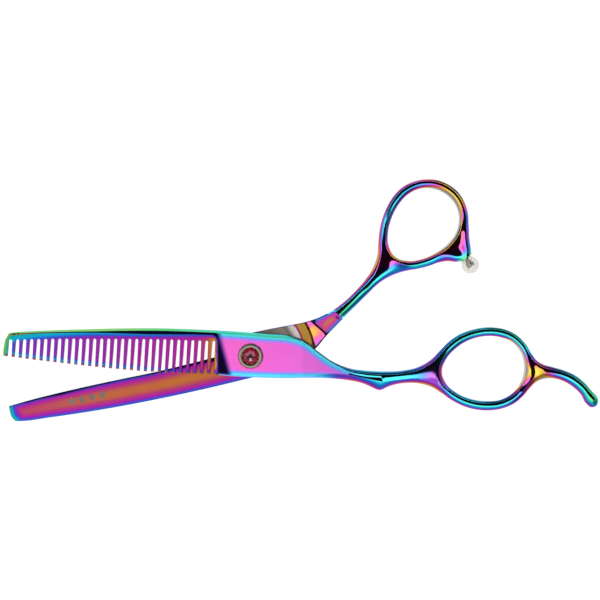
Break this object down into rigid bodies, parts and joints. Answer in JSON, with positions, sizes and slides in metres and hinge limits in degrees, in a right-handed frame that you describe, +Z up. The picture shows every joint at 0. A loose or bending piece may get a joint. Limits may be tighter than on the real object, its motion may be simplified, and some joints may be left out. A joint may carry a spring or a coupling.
{
  "type": "thinning shears",
  "caption": "Salon thinning shears with a notched comb blade over a plain blade, offset finger and thumb rings, curved tang, jewelled pivot and rainbow metal finish.",
  "frame": {"origin": "on the pivot axis, in the plane of the tension screw's flat underside", "axes": "+Z up along the pivot axis, out of the jewelled head; blades towards -X, rings towards +X"},
  "size_m": [0.1721, 0.0701, 0.0074],
  "materials": {
    "comb_blade_tint": "rainbow titanium tint, satin faces",
    "finger_handle_tint": "rainbow titanium tint, mirror polished",
    "plain_blade_tint": "rainbow titanium tint, satin faces",
    "thumb_handle_tint": "rainbow titanium tint, mirror polished",
    "pivot_steel": "polished stainless steel",
    "gem_foil": "mirror foil",
    "gem": "faceted red glass",
    "bronze": "sintered bronze",
    "ptfe": "white PTFE",
    "washer_brass": "plain brass",
    "spring_steel": "blued spring steel",
    "screw_steel": "turned stainless steel",
    "stud_steel": "nickel plated",
    "silicone": "clear silicone"
  },
  "bodies": {
    "finger_half": {"comb_blade": "comb_blade_tint", "finger_handle": "finger_handle_tint", "pivot_stud": "pivot_steel", "gem_foil": "gem_foil", "pivot_gem": "gem", "glide_washer": "ptfe"},
    "thumb_half": {"plain_blade": "plain_blade_tint", "thumb_handle": "thumb_handle_tint", "pivot_bush": "bronze", "flat_washer": "washer_brass", "bumper_stud": "stud_steel", "bumper": "silicone"},
    "tension_adjuster": {"tension_screw": "screw_steel", "spring_washer": "spring_steel"}
  },
  "joints": [
    {"name": "blade_pivot", "type": "hinge", "parent": "finger_half", "child": "thumb_half", "pos_m": [0, 0, 0.004], "axis": [0, 0, 1], "range_deg": [-13.2, 110]},
    {"name": "tension_turn", "type": "hinge", "parent": "finger_half", "child": "tension_adjuster", "pos_m": [0, 0, 0.001], "axis": [0, 0, 1], "range_deg": [-180, 180]}
  ]
}
